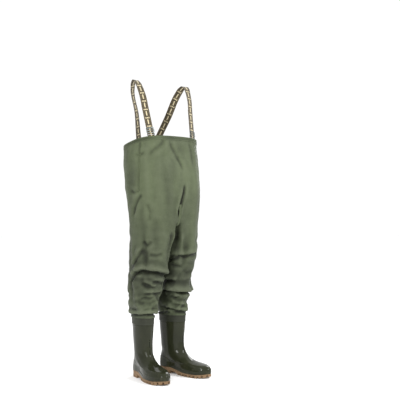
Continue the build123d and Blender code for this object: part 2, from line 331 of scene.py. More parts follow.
def thick_piece(name, verts, normals, faces, uvs, thickness, outward=0.0, creases=None):
    """A closed piece with an outer and an inner skin, from quads of a larger sheet."""
    faces = np.asarray(faces)
    used, local = np.unique(faces, return_inverse=True)
    local = local.reshape(faces.shape)
    count = len(used)
    outer = verts[used] + normals[used] * outward
    inner = outer - normals[used] * thickness
    edges = dict.fromkeys((int(a), int(b)) for a, b in quad_edges(local))
    rim = [(a, b) for a, b in edges if (b, a) not in edges]
    all_faces = [tuple(f) for f in local]
    all_faces += [tuple(int(i) + count for i in f[::-1]) for f in local]
    all_faces += [(b, a, a + count, b + count) for a, b in rim]
    all_verts = np.concatenate([outer, inner])
    both = np.concatenate([normals[used], -normals[used]])
    uv_of = np.tile(uvs[used], (2, 1))
    loop_uvs = [uv_of[i] for face in all_faces for i in face]
    loop_normals = [both[i] for face in all_faces[:2 * len(local)] for i in face]
    for face in all_faces[2 * len(local):]:
        a, b, c = (all_verts[i] for i in face[:3])
        flat = np.cross(b - a, c - a)
        loop_normals += [flat / max(np.linalg.norm(flat), 1e-12)] * 4
    piece = make_object(name, all_verts, all_faces, loop_uvs, loop_normals)
    # The crease attribute holds painted shade for the cloth's colour, and a painted highlight on
    # ridges.
    if creases is not None:
        layer = piece.data.attributes.new("crease", "FLOAT", "POINT")
        layer.data.foreach_set("value", np.tile(creases[used], 2))
    return piece


# ---- materials ----

FABRIC = {"roughness": 0.60, "Sheen_Weight": 0.04, "Sheen_Roughness": 0.45,
          "Specular_IOR_Level": 0.18}
THREADS = 900
BOOT_ROUGHNESS = 0.12
STITCH_LENGTH = 0.0042
STITCH_SHARE = 0.68
THREAD_HALF_WIDTH = 0.0007
HEM_STITCHES = (0.0035, 0.0175)
SEAM_STITCHES = (0.0028, 0.0102)
DEEP_CREASE = 0.0045

# The webbing's pattern: its length, then dashes, bars and edge lines as distances from the middle
PATTERN_LENGTH = 0.043
DASH_HALF_WIDTH = 0.0030
BAR_HALF_WIDTH = 0.0105
BAR_GAP_PLACE = 0.0048
BAR_GAP_HALF_WIDTH = 0.0011
EDGE_LINE = (0.0148, 0.0160)


def linear(red, green, blue):
    """A colour given as 0 to 255 display values."""
    return tuple((c / 255) ** 2.2 for c in (red, green, blue))


CLOTH_DARK = linear(51, 57, 41)
CLOTH_LIGHT = linear(71, 79, 57)
# Chalky coating colour, also used for the painted highlight on ridges.
CHALKY_AND_PAINTED_HIGHLIGHT = linear(112, 118, 97)
# Colour of the painted shade at the knees and lower legs.
LOWER_LEG_PAINTED_SHADE = linear(46, 49, 39)
# Colour of the painted shade in creases, below overhanging folds and between the legs.
CREASE_PAINTED_SHADE = linear(30, 32, 25)


class Shader:
    """A node material that is built a step at a time."""

    def __init__(self, name, roughness, **sockets):
        self.material = bpy.data.materials.new(name)
        self.material.use_nodes = True
        self.tree = self.material.node_tree
        self.bsdf = self.tree.nodes["Principled BSDF"]
        self.bsdf.inputs["Roughness"].default_value = roughness
        for key, value in sockets.items():
            self.bsdf.inputs[key.replace("_", " ")].default_value = value

    def node(self, kind, **values):
        node = self.tree.nodes.new("ShaderNode" + kind)
        for key, value in values.items():
            if hasattr(node, key):
                setattr(node, key, value)
            else:
                node.inputs[key.replace("_", " ")].default_value = value
        return node

    def link(self, out, into):
        self.tree.links.new(out, into)

    def put(self, value, socket):
        """Sets a socket to a number or a colour, or links another node's output to it."""
        if isinstance(value, tuple):
            socket.default_value = (*value, 1)
        elif isinstance(value, (int, float)):
            socket.default_value = value
        else:
            self.link(value, socket)

    def math(self, operation, a, b=0.0):
        node = self.node("Math", operation=operation)
        self.put(a, node.inputs[0])
        self.put(b, node.inputs[1])
        return node.outputs[0]

    def times(self, a, b):
        return self.math("MULTIPLY", a, b)

    def under(self, a, limit):
        return self.math("LESS_THAN", a, limit)

    def over(self, a, limit):
        return self.math("GREATER_THAN", a, limit)

    def most(self, a, b):
        return self.math("MAXIMUM", a, b)

    def away(self, a, b):
        """The distance between two values."""
        return self.math("ABSOLUTE", self.math("SUBTRACT", a, b))

    def phase(self, a, length):
        """How far along its repeat a value is, from 0 to 1."""
        return self.math("FRACT", self.math("DIVIDE", a, length))

    def axes(self, coordinates):
        split = self.node("SeparateXYZ")
        self.link(self.node("TexCoord").outputs[coordinates], split.inputs[0])
        return split.outputs

    def noise(self, scale, detail=3.0, stretch=(1, 1, 1)):
        mapping = self.node("Mapping")
        mapping.inputs["Scale"].default_value = stretch
        self.link(self.node("TexCoord").outputs["Object"], mapping.inputs["Vector"])
        node = self.node("TexNoise", Scale=scale, Detail=detail)
        self.link(mapping.outputs[0], node.inputs["Vector"])
        return node.outputs["Fac"]

    def ramp(self, factor, *stops):
        """A ramp through stops, each a place and a colour or a grey."""
        node = self.node("ValToRGB")
        ramp = node.color_ramp
        while len(ramp.elements) < len(stops):
            ramp.elements.new(0.5)
        for element, (place, colour) in zip(ramp.elements, stops):
            element.position = place
            element.color = (*colour, 1) if isinstance(colour, tuple) else (colour, colour, colour, 1)
        self.link(factor, node.inputs[0])
        return node.outputs[0]

    def mix(self, factor, a, b):
        node = self.node("Mix", data_type="RGBA")
        self.put(factor, node.inputs[0])
        self.put(a, node.inputs[6])
        self.put(b, node.inputs[7])
        return node.outputs[2]

    def bump(self, height, distance, strength, under=None):
        node = self.node("Bump", Distance=distance, Strength=strength)
        self.link(height, node.inputs["Height"])
        if under is not None:
            self.link(under, node.inputs["Normal"])
        return node.outputs[0]

    def weave(self, across, along):
        """Over-and-under threads: two crossed waves on the piece's UVs, in threads a metre."""
        u, v, _ = self.axes("UV")
        u = self.math("SINE", self.times(u, across * math.tau))
        v = self.math("SINE", self.times(v, along * math.tau))
        return self.times(u, v)

    def finish(self, colour, normal=None, roughness=None):
        for value, socket in ((colour, "Base Color"), (normal, "Normal"), (roughness, "Roughness")):
            if value is not None:
                self.link(value, self.bsdf.inputs[socket])
        return self.material


def cloth_material():
    """Coated nylon: a fine weave, soft creasing and a slightly chalky coating, with painted shade at
    the knees, in the creases and between the legs, and a painted highlight on ridges.
    """
    s = Shader("coated_nylon", **FABRIC)
    s.bsdf.inputs["Sheen Tint"].default_value = (0.85, 0.9, 0.8, 1)
    height = s.axes("Object")[2]
    base = s.ramp(s.noise(6.5, 4.0, (1.3, 1.3, 0.5)), (0.36, CLOTH_DARK), (0.62, CLOTH_LIGHT))
    colour = s.mix(s.times(s.noise(240.0, 2.0), 0.22), base, CHALKY_AND_PAINTED_HIGHLIGHT)
    # Painted shade: strongest at the knees, fading up the thighs to nothing at the waist.
    painted_knee_shade = s.ramp(height, (0.36, 0.45), (0.49, 0.85), (0.66, 0.35), (0.98, 0.0))
    colour = s.mix(painted_knee_shade, colour, LOWER_LEG_PAINTED_SHADE)
    crease = s.node("Attribute", attribute_name="crease").outputs["Fac"]
    # Painted shade: darker in creases, below overhanging folds and between the legs.
    colour = s.mix(s.most(crease, 0.0), colour, CREASE_PAINTED_SHADE)
    # Painted highlight on ridges, also standing for the coating worn pale there.
    colour = s.mix(s.most(s.times(crease, -0.3), 0.0), colour, CHALKY_AND_PAINTED_HIGHLIGHT)
    ridge = s.away(s.noise(11.0, 3.0, (1.0, 1.0, 1.5)), 0.5)
    slack = s.ramp(height, (0.55, 1.0), (0.85, 0.25))
    sharp = s.bump(s.times(ridge, slack), 0.03, 0.45)
    buckled = s.bump(s.noise(20.0, 4.0, (1.0, 1.0, 1.7)), 0.006, 0.35, sharp)
    crumple = s.bump(s.noise(55.0, 5.0), 0.0012, 0.40, buckled)
    threads = s.bump(s.weave(THREADS, THREADS), 0.00012, 0.55, crumple)
    rough = s.ramp(s.noise(18.0, 3.0), (0.3, 0.55), (0.7, 0.70))
    return s.finish(colour, threads, rough)


def stitched_material(name, lines, run, place):
    """The fabric again, with rows of lock stitches set into it at the given UV places."""
    s = Shader(name, **FABRIC)
    base = s.ramp(s.noise(7.0, 4.0), (0.32, CLOTH_DARK), (0.68, CLOTH_LIGHT))
    axes = s.axes("UV")
    near = [s.under(s.away(axes[place], line), THREAD_HALF_WIDTH) for line in lines]
    groove = s.most(*near)
    stitch = s.times(groove, s.under(s.phase(axes[run], STITCH_LENGTH), STITCH_SHARE))
    colour = s.mix(s.times(groove, 0.35), base, linear(60, 64, 48))
    colour = s.mix(s.times(stitch, 0.6), colour, linear(112, 118, 92))
    crumple = s.bump(s.noise(55.0, 5.0), 0.0010, 0.25)
    threads = s.bump(s.weave(THREADS, THREADS), 0.00012, 0.55, crumple)
    sewn = s.math("SUBTRACT", stitch, s.times(groove, 0.8))
    return s.finish(colour, s.bump(sewn, 0.0006, 0.8, threads))


def boot_material(name):
    """Moulded PVC: glossy, with a soft orange peel and scuffs low down."""
    s = Shader(name, BOOT_ROUGHNESS, Specular_IOR_Level=0.15, Coat_Weight=0.04, Coat_Roughness=0.08)
    base = s.ramp(s.noise(9.0), (0.35, linear(37, 39, 29)), (0.7, linear(46, 48, 36)))
    dust = s.ramp(s.noise(38.0, 6.0), (0.52, 0.0), (0.75, 0.35))
    near_floor = s.ramp(s.times(s.axes("Object")[2], 8.0), (0.1, 1.0), (0.7, 0.0))
    amount = s.times(s.times(dust, near_floor), 0.5)
    colour = s.mix(amount, base, linear(118, 112, 92))
    peel = s.bump(s.noise(420.0, 2.0), 0.0002, 0.12)
    waves = s.bump(s.noise(26.0, 2.0), 0.0015, 0.10, peel)
    rough = s.ramp(s.noise(30.0, 4.0), (0.3, BOOT_ROUGHNESS - 0.05), (0.75, BOOT_ROUGHNESS + 0.10))
    return s.finish(colour, waves, rough)


def sole_material():
    """Gum rubber, with dirt in patches that grow towards the floor."""
    s = Shader("gum_rubber", 0.62, Specular_IOR_Level=0.22)
    base = s.ramp(s.noise(14.0, 5.0), (0.3, linear(104, 82, 60)), (0.7, linear(130, 107, 82)))
    dirt = s.ramp(s.noise(60.0, 6.0), (0.5, 0.0), (0.8, 0.6))
    low = s.ramp(s.times(s.axes("Object")[2], 40.0), (0.0, 0.9), (0.55, 0.12))
    colour = s.mix(s.times(dirt, low), base, linear(88, 76, 60))
    return s.finish(colour, s.bump(s.noise(520.0, 3.0), 0.0002, 0.35))


def webbing_material():
    """Dark webbing with a woven line of pale dashes and crosswise bars down its middle."""
    s = Shader("woven_webbing", 0.78, Sheen_Weight=0.25, Specular_IOR_Level=0.25)
    u, v, _ = s.axes("UV")
    across = s.away(u, STRAP_WIDTH / 2)
    phase = s.phase(v, PATTERN_LENGTH)
    dash = s.times(s.under(across, DASH_HALF_WIDTH), s.under(s.away(phase, 0.35), 0.27))
    bar = s.times(s.under(across, BAR_HALF_WIDTH), s.under(s.away(phase, 0.82), 0.075))
    gap = s.over(s.away(across, BAR_GAP_PLACE), BAR_GAP_HALF_WIDTH)
    pattern = s.most(dash, s.times(bar, gap))
    edge = s.times(s.over(across, EDGE_LINE[0]), s.under(across, EDGE_LINE[1]))
    ground = s.ramp(s.noise(120.0, 3.0), (0.3, linear(54, 47, 33)), (0.7, linear(78, 70, 52)))
    ground = s.mix(s.times(edge, 0.45), ground, linear(128, 112, 74))
    colour = s.mix(pattern, ground, linear(186, 174, 140))
    return s.finish(colour, s.bump(s.weave(700, 620), 0.00025, 0.7))


def plain_material(name, roughness, dark, light, scale, grain, depth, strength, **sockets):
    """Soft blotches of two tones over a grain, which is a noise's scale, detail and stretch."""
    s = Shader(name, roughness, **sockets)
    base = s.ramp(s.noise(scale, 4.0), (0.3, linear(*dark)), (0.7, linear(*light)))
    return s.finish(base, s.bump(s.noise(*grain), depth, strength))


def felt_material(name, dark, light):
    return plain_material(name, 0.9, dark, light, 90.0, (700.0, 4.0), 0.0006, 0.6, Sheen_Weight=0.3)


MATERIALS = {
    "cloth": cloth_material(),
    "hem": stitched_material("stitched_hem", HEM_STITCHES, 0, 1),
    "seam": stitched_material("stitched_seam", SEAM_STITCHES, 1, 0),
    "boot": boot_material("moulded_pvc"),
    "rand": boot_material("rand_pvc"),
    "band": plain_material("weld_band_pvc", 0.55, (36, 38, 30), (48, 50, 40), 16.0, (300.0, 3.0),
                           0.0003, 0.4, Specular_IOR_Level=0.22),
    "sole": sole_material(),
    "webbing": webbing_material(),
    "metal": plain_material("grey_metal", 0.42, (84, 92, 93), (112, 119, 119), 160.0,
                            (900.0, 2.0, (1, 8, 1)), 0.00006, 0.35, Metallic=0.75),
    "insole": felt_material("insole_felt", (82, 82, 76), (104, 104, 96)),
    "lining": felt_material("lining_knit", (96, 98, 88), (116, 118, 106)),
}


def dress(piece, material, slot, body=None, *nodes):
    """Gives a piece its material, and, if it is rigid, its body and the nodes it replaces. The slot is
    not used.
    """
    piece.data.materials.clear()
    piece.data.materials.append(MATERIALS[material])
    if body:
        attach(piece, body)
    if nodes:
        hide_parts(*nodes)


# ---- the fabric upper ----

class Garment:
    """One sheet of quads for the whole upper: the torso's rings, then each leg's."""

    def __init__(self):
        self.verts, self.faces, self.parts, self.uvs, self.held = [], [], [], [], []
        self.torso_rows = self.build_torso()
        crotch = self.build_crotch()
        for side, sign in SIDES:
            self.build_leg(side, sign, crotch)

    def add_row(self, points, around, held=0.0):
        """Adds a row of points, with each one's distance along the row, and numbers them."""
        first = len(self.verts)
        self.verts += points
        self.uvs += [(u, point[2]) for u, point in zip(around, points)]
        self.held += [held] * len(points)
        return list(range(first, len(self.verts)))

    def quad(self, rows, r, i, part, flip=False):
        """The quad below place i of row r."""
        k = (i + 1) % len(rows[r])
        corners = (rows[r][i], rows[r][k], rows[r + 1][k], rows[r + 1][i])
        self.faces.append(corners[::-1] if flip else corners)
        self.parts.append(part)

    def torso_half(self, z):
        """The right half of the torso's outline, front to back, its lengths and its middle's y."""
        cy, half_width, half_depth, squareness = at_height(TORSO, z)
        line, along = oval_line(half_width, half_depth, squareness, 0, math.pi)
        places = np.linspace(0, along[-1], HALF_COUNT + 1)
        return sample(line, along, places), places, cy + SHIFT_Y

    def build_torso(self):
        """Rings from the sloping hem down to the level crotch."""
        steps = [(hem_z, BIB_BOTTOM_Z, s) for s in np.linspace(0, 1, BIB_ROWS + 1)]
        steps += [(level(BIB_BOTTOM_Z), CROTCH_Z, s) for s in np.linspace(0, 1, HIP_ROWS + 1)[1:]]
        rows = []
        for top, bottom, s in steps:
            half, _, cy = self.torso_half(top(0.0) * (1 - s) + bottom * s)
            ring = np.concatenate([half, half[-2:0:-1] * (-1, 1)]) + (0, cy)
            ring = [(x, y, top(y) * (1 - s) + bottom * s) for x, y in ring]
            around = [i / len(ring) * RING_LENGTH for i in range(len(ring))]
            rows.append(self.add_row(ring, around, 1.0 if len(rows) <= HEM_ROWS else 0.0))
        for r in range(len(rows) - 1):
            for i, corner in enumerate(rows[r]):
                after = rows[r][(i + 1) % len(rows[r])]
                middle_y = (self.verts[corner][1] + self.verts[after][1]) / 2
                if r < HEM_ROWS:
                    part = "hem"
                elif r < BIB_ROWS:
                    part = "bib_front" if middle_y < SEAM_Y else "bib_back"
                else:
                    part = "right_hip" if i < HALF_COUNT else "left_hip"
                self.quad(rows, r, i, part)
        return rows

    def build_crotch(self):
        """The line under the body that the two legs share, from the back to the front."""
        last = self.torso_rows[-1]
        front_y, back_y = self.verts[last[0]][1], self.verts[last[HALF_COUNT]][1]
        shares = [j / (CROTCH_COUNT + 1) for j in range(1, CROTCH_COUNT + 1)]
        points = [(0.0, back_y + (front_y - back_y) * t, CROTCH_Z) for t in shares]
        return self.add_row(points, [t * CROTCH_LENGTH for t in shares])

    def leg_ring(self, z):
        """The right leg's ring at a height: half the torso near the crotch, then an oval."""
        half, places, cy = self.torso_half(min(z, CROTCH_Z))
        outer = half + (0, cy)
        back, front = outer[-1], outer[0]
        inner_t = (np.arange(CROTCH_COUNT) + 1) / (CROTCH_COUNT + 1)
        start = np.concatenate([outer, back + (front - back) * inner_t[:, None]])
        inner_length = np.linalg.norm(front - back)
        at = np.concatenate([places, places[-1] + inner_t * inner_length])
        share = (at - places[-1] / 2) / (places[-1] + inner_length) + 0.5
        cx, leg_y, half_width, half_depth, yaw = at_height(LEG, z)
        line, along = oval_line(half_width, half_depth, LEG_SQUARENESS, -math.pi / 2, math.pi * 1.5)
        oval = sample(line, along, (share % 1.0) * along[-1])
        turn = math.radians(yaw)
        x = oval[:, 0] * math.cos(turn) - oval[:, 1] * math.sin(turn) + cx
        y = oval[:, 0] * math.sin(turn) + oval[:, 1] * math.cos(turn) + leg_y + SHIFT_Y
        start[HALF_COUNT + 1:, 0] -= 0.0025 * smoothstep(0, 0.02, CROTCH_Z - z)
        weight = smoothstep(0, LEG_BLEND, CROTCH_Z - z)
        ring = start * (1 - weight) + np.stack([x, y], 1) * weight
        return ring, share * along[-1]

    def build_leg(self, side, sign, crotch):
        """A leg's rings; its first is half the torso's last ring and the line under the body."""
        last = self.torso_rows[-1]
        half = last[:HALF_COUNT + 1] if sign > 0 else last[:1] + last[:HALF_COUNT - 1:-1]
        rows = [half + crotch]
        heights = np.linspace(CROTCH_Z, FABRIC_BOTTOM_Z, LEG_ROWS + 1)
        for number, z in enumerate(heights[1:]):
            ring, around = self.leg_ring(z)
            held = 1.0 if number >= LEG_ROWS - HELD_ANKLE_ROWS else 0.0
            rows.append(self.add_row([(x * sign, y, z) for x, y in ring], around, held))
        for r in range(LEG_ROWS):
            part = side + ("_hip" if heights[r] > LEG_SPLIT_Z else "_leg")
            for i in range(len(rows[r])):
                self.quad(rows, r, i, part, flip=sign < 0)


def rounded_crotch(garment, verts):
    """Rounds the corners where the front and back seams turn under the body."""
    near = np.linalg.norm((verts - (0, 0.01, CROTCH_Z)) * (1.0, 0.0, 1.0), axis=1)
    weight = 0.6 * (1 - smoothstep(0.03, 0.10, near))
    return smoothed(verts, garment.faces, weight, 24)


def soft_noise(verts, scale, seed):
    """Smooth random numbers from -1 to 1, one for each vertex."""
    offset = Vector((seed * 7.3, seed * 3.1, seed * 5.7))
    return np.array([noise.noise(Vector(v) * scale + offset) for v in verts.tolist()])


# Spare cloth: everywhere, and as length at the knees and ankles
EASE = 0.012
SPARE_LENGTH = 0.10


def cut_heights(z):
    """Heights on the uncut cloth, which has length to spare at the knees and ankles."""
    heights = np.linspace(FABRIC_BOTTOM_Z, 1.3, 400)
    knee = smoothstep(0.60, 0.50, heights) * smoothstep(0.36, 0.40, heights)
    spare = EASE + SPARE_LENGTH * knee
    spare = spare + SPARE_LENGTH * smoothstep(0.37, 0.33, heights)
    length = np.concatenate([[0], np.cumsum((1 + spare[1:]) * np.diff(heights))])
    length = length - np.interp(HEM_Z, heights, length) + HEM_Z
    return np.interp(z, heights, length)


BEND_DEPTH = 0.004
SMOOTHING = 0.7
SIM_FRAMES = 30
SIM_SETTINGS = {
    "quality": 5, "mass": 0.25, "tension_stiffness": 25, "compression_stiffness": 25,
    "shear_stiffness": 8, "bending_stiffness": 1.2, "air_damping": 2.0,
    "vertex_group_mass": "held",
}


def settled(garment, verts, frames):
    """Cloth simulation: the upper hangs from its hem and creases where it has length to spare."""
    piece = make_object("garment_cloth", verts, garment.faces)
    piece.shape_key_add(name="hung")
    key = piece.shape_key_add(name="cut")
    cut = verts.copy()
    cut[:, 2] = cut_heights(verts[:, 2])
    middle_x = np.sign(verts[:, 0]) * LEG_MIDDLE_X
    leg = smoothstep(CROTCH_Z, CROTCH_Z - 0.08, verts[:, 2])
    cut[:, 0] += (verts[:, 0] - middle_x * leg) * EASE
    cut[:, 1] += (verts[:, 1] - 0.02) * EASE
    key.data.foreach_set("co", cut.ravel())
    group = piece.vertex_groups.new(name="held")
    body_hold = 0.02 + 0.05 * smoothstep(0.75, 1.0, verts[:, 2])
    hold = np.maximum(np.array(garment.held), body_hold)
    for i, weight in enumerate(hold):
        group.add([i], float(weight), "REPLACE")
    cloth = piece.modifiers.new("cloth", "CLOTH")
    for setting, value in SIM_SETTINGS.items():
        setattr(cloth.settings, setting, value)
    cloth.settings.rest_shape_key = key
    scene = bpy.context.scene
    for number in range(1, frames + 1):
        scene.frame_set(number)
    done = piece.evaluated_get(bpy.context.evaluated_depsgraph_get()).to_mesh()
    result = np.zeros(len(done.vertices) * 3)
    done.vertices.foreach_get("co", result)
    scene.frame_set(1)
    bpy.data.objects.remove(piece)
    return result.reshape(-1, 3)


def finer(garment, verts):
    """The same sheet with each quad cut in four by a subdivision surface."""
    names = sorted(set(garment.parts))
    piece = make_object("garment_fine", verts, garment.faces,
                        [garment.uvs[i] for face in garment.faces for i in face])
    piece.data.polygons.foreach_set("material_index", [names.index(p) for p in garment.parts])
    divide = piece.modifiers.new("divide", "SUBSURF")
    divide.levels = 1
    mesh = piece.evaluated_get(bpy.context.evaluated_depsgraph_get()).to_mesh()
    points = np.zeros(len(mesh.vertices) * 3)
    mesh.vertices.foreach_get("co", points)
    faces = np.array([tuple(p.vertices) for p in mesh.polygons])
    parts = np.zeros(len(mesh.polygons), int)
    mesh.polygons.foreach_get("material_index", parts)
    loops = np.zeros(len(mesh.loops) * 2)
    mesh.uv_layers[0].data.foreach_get("uv", loops)
    uvs = np.zeros((len(mesh.vertices), 2))
    uvs[faces.ravel()] = loops.reshape(-1, 2)
    bpy.data.objects.remove(piece)
    return points.reshape(-1, 3), faces, [names[i] for i in parts], uvs


def ankle_ring(start, stop, step, height, phase):
    """The places of a crease that runs round the ankle and waves up and down."""
    return [(a, height + 4 * math.sin(math.radians(2 * a + phase))) for a in range(start, stop, step)]


# Creases: depth, half width and overhang, then (angle, height) along the crease, in millimetres.
# Angles are in degrees about the leg or torso, from the front towards the wearer's right.
TORSO_FOLDS = [
    (12, 8, 4, [(-13, 985), (-8, 925), (-2, 875), (3, 835), (2, 800)]),
    (4.5, 11, 0, [(29, 1200), (36, 1165), (48, 1135), (58, 1100)]),
    (4.5, 11, 0, [(22, 1195), (16, 1155), (6, 1115), (-4, 1075), (-12, 1020)]),
    (3.5, 10, 0, [(-30, 1190), (-36, 1130), (-38, 1050)]),
    (4, 9, 0, [(60, 1122), (70, 1110), (80, 1113)]),
    (7.5, 10, 0, [(70, 925), (78, 895), (88, 850), (94, 800)]),
    (5, 9, 0, [(96, 935), (84, 925), (74, 930)]),
    (5.5, 12, 0, [(64, 880), (60, 830), (62, 770)]),
    (6, 14, 0, [(180, 880), (180, 840), (180, 800)]),
    (4.5, 16, 0, [(160, 905), (150, 860), (138, 825)]),
    (4.5, 16, 0, [(-158, 910), (-148, 868), (-132, 830)]),
    (3.5, 16, 0, [(165, 1120), (158, 1060), (160, 990)]),
    (3.5, 16, 0, [(-170, 1110), (-160, 1040), (-162, 970)]),
    (3.5, 14, 0, [(-78, 1130), (-84, 1060), (-82, 980)]),
    (4.5, 15, 0, [(-72, 920), (-84, 875), (-96, 815)]),
]
RIGHT_FOLDS = [
    (18, 12, 12, [(-42, 512), (-28, 524), (15, 540), (54, 547), (82, 524)]),
    (13, 11, 6, [(58, 545), (76, 528), (97, 497), (116, 466)]),
    (8.5, 7, 3, [(-30, 470), (-18, 477), (6, 486), (22, 490)]),
    (8, 8, 4, [(4, 455), (20, 462), (38, 476), (54, 486)]),
    (8, 7, 4, [(-40, 436), (-8, 428), (18, 431), (44, 422)]),
    (4.5, 9, 0, [(30, 378), (52, 382), (76, 392)]),
    (4, 9, 0, [(-30, 372), (-5, 362), (18, 366)]),
    (11, 6, 7, ankle_ring(-180, 181, 20, 324, 40)),
    (8, 10, 4, [(112, 556), (96, 565), (80, 598), (64, 632), (52, 655)]),
    (8, 9, 0, [(-20, 740), (-24, 690), (-26, 620), (-22, 560)]),
    (6, 9, 0, [(30, 690), (44, 668), (62, 690)]),
    (6, 8, 0, [(0, 628), (20, 616), (40, 622)]),
    (5, 6, 0, [(10, 400), (30, 405), (55, 398)]),
    (4.5, 6, 0, [(-10, 345), (15, 350), (40, 343)]),
    (12, 10, 6, [(-150, 465), (-172, 474), (168, 486), (146, 492)]),
    (9, 9, 3, [(-178, 430), (160, 438), (142, 426), (126, 412)]),
    (8, 10, 4, [(-150, 388), (180, 376), (156, 384)]),
    (9, 10, 5, [(-130, 545), (-150, 560), (-170, 590), (172, 625)]),
    (6, 14, 0, [(168, 740), (150, 705), (134, 690)]),
]
LEFT_FOLDS = [
    (9, 9, 5, [(62, 612), (48, 614), (15, 610), (-21, 624), (-34, 634)]),
    (8, 8, 4, [(64, 590), (52, 594), (38, 599), (30, 604)]),
    (13, 10, 6, [(84, 484), (66, 488), (48, 486), (28, 476)]),
    (19, 10, 18, [(96, 452), (78, 444), (32, 436), (0, 431), (-22, 427), (-48, 430), (-70, 442)]),
    (10, 7, 7, [(84, 332), (56, 345), (19, 330), (-14, 322), (-44, 316)]),
    (8, 6, 4, [(90, 318), (66, 325), (44, 322)]),
    (11, 6, 6, ankle_ring(-180, -39, 20, 322, 0)),
    (11, 6, 6, ankle_ring(90, 181, 18, 321, 0)),
    (5, 11, 0, [(10, 388), (-8, 376), (-30, 382)]),
    (5, 10, 0, [(20, 540), (0, 522), (-20, 530)]),
    (6, 7, 0, [(60, 575), (40, 560), (15, 556)]),
    (5, 6, 0, [(60, 400), (35, 395), (10, 402)]),
    (4.5, 6, 0, [(50, 362), (20, 358), (-10, 350)]),
    (6, 12, 0, [(36, 790), (40, 730), (44, 680)]),
    (4.5, 14, 0, [(-10, 700), (-26, 682), (-46, 690)]),
    (13, 10, 9, [(-120, 474), (-140, 490), (-166, 484), (172, 470)]),
    (10, 9, 6, [(-112, 408), (-134, 422), (-158, 430), (178, 420)]),
    (8.5, 10, 4, [(-60, 560), (-84, 572), (-110, 560), (-128, 540)]),
    (9, 10, 5, [(130, 545), (150, 560), (170, 590), (-172, 620)]),
    (6, 14, 0, [(-168, 735), (-150, 700), (-130, 690)]),
]


# A crease's section: places and widths as shares of its half width, heights of its depth
LIP_PLACE = 2.3
LIP_WIDTH = 1.3
LIP_HEIGHT = 0.28
HANG_PLACE = 1.3
HANG_WIDTH = 1.25
HANG_DROP = 0.75
SHADE_WIDTH = 1.6
FADE_SHARE = 0.22


def folded(verts, normals, angle, reach, folds):
    """How far each vertex moves into the creases or hangs over them, and how shaded it is below."""
    shift = np.zeros_like(verts)
    shade = np.zeros(len(verts))
    every = np.arange(len(verts))
    for *sizes, line in folds:
        depth, width, overhang = (size / 1000 for size in sizes)
        angles = np.unwrap(np.radians([a for a, _ in line]))
        heights = np.array([z for _, z in line]) / 1000
        turn = (angle - angles.mean() + math.pi) % math.tau - math.pi + angles.mean()
        dense = np.linspace(0, len(line) - 1, 12 * len(line))
        around = (turn[:, None] - np.interp(dense, np.arange(len(line)), angles)) * reach
        up = verts[:, 2:3] - np.interp(dense, np.arange(len(line)), heights)
        distance = np.hypot(around, up)
        nearest = distance.argmin(1)
        away = distance[every, nearest]
        above = up[every, nearest]
        share = dense[nearest] / (len(line) - 1)
        ends = smoothstep(0, FADE_SHARE, share) * smoothstep(1, 1 - FADE_SHARE, share)
        if abs(angles[-1] - angles[0]) > math.tau - 0.1:
            ends = np.ones(len(verts))
        groove = bump_at(away, 0, width) * depth
        lips = bump_at(away, LIP_PLACE * width, LIP_WIDTH * width) * depth * LIP_HEIGHT
        hang = bump_at(above, HANG_PLACE * width, HANG_WIDTH * width) * overhang
        hang = hang * np.exp(-(np.minimum(np.abs(away - np.abs(above)), 0.03) / 0.012) ** 2)
        shift += normals * ((lips - groove + hang) * ends)[:, None]
        shift[:, 2] -= hang * ends * HANG_DROP
        # Painted shade below the crease's overhang, kept for the cloth's colour.
        below = bump_at(above, -HANG_PLACE * width, SHADE_WIDTH * width)
        below = below * np.exp(-(away / (3.0 * width)) ** 4) * min(overhang / 0.006, 1.0)
        shade = np.maximum(shade, below * ends)
    return shift, shade


def leg_angle(verts, sign):
    """Each vertex's angle about that leg's middle line, 0 at the front, + towards -X."""
    cx, cy = at_height(LEG, verts[:, 2]).T[:2]
    return np.arctan2(-(verts[:, 0] - cx * sign), -(verts[:, 1] - cy - SHIFT_Y))


def with_folds(verts, faces):
    """The sheet with the torso's and the legs' creases, and the shade below them."""
    normals = vertex_normals(verts, faces)
    cy = at_height(TORSO, verts[:, 2]).T[0]
    angle = np.arctan2(-verts[:, 0], -(verts[:, 1] - cy - SHIFT_Y))
    torso, shade = folded(verts, normals, angle, TORSO_REACH, TORSO_FOLDS)
    upper = smoothstep(CROTCH_Z - 0.03, CROTCH_Z + 0.02, verts[:, 2])
    result = verts + torso * upper[:, None]
    shade = shade * upper
    for folds, sign in ((RIGHT_FOLDS, 1.0), (LEFT_FOLDS, -1.0)):
        leg, leg_shade = folded(verts, normals, leg_angle(verts, sign), LEG_REACH, folds)
        mine = smoothstep(-0.002, 0.002, -verts[:, 0] * sign)
        mine = mine * smoothstep(CROTCH_Z + 0.03, CROTCH_Z - 0.03, verts[:, 2])
        result += leg * mine[:, None]
        shade += leg_shade * mine
    return result, shade


def rumpled(verts, faces):
    """Small wrinkles, stronger where the cloth is slack at the knees and ankles."""
    normals = vertex_normals(verts, faces)
    slack = 0.45 + smoothstep(0.66, 0.52, verts[:, 2])
    long_wrinkles = soft_noise(verts * (1.0, 1.0, 2.2), 16.0, 3) * 0.0030
    small = soft_noise(verts * (1.0, 1.0, 1.5), 45.0, 5) * 0.0012
    away = smoothstep(FABRIC_BOTTOM_Z, FABRIC_BOTTOM_Z + 0.02, verts[:, 2])
    hem = smoothstep(0.0, 0.05, hem_z(verts[:, 1]) - verts[:, 2])
    return verts + normals * ((long_wrinkles + small) * slack * away * hem)[:, None]


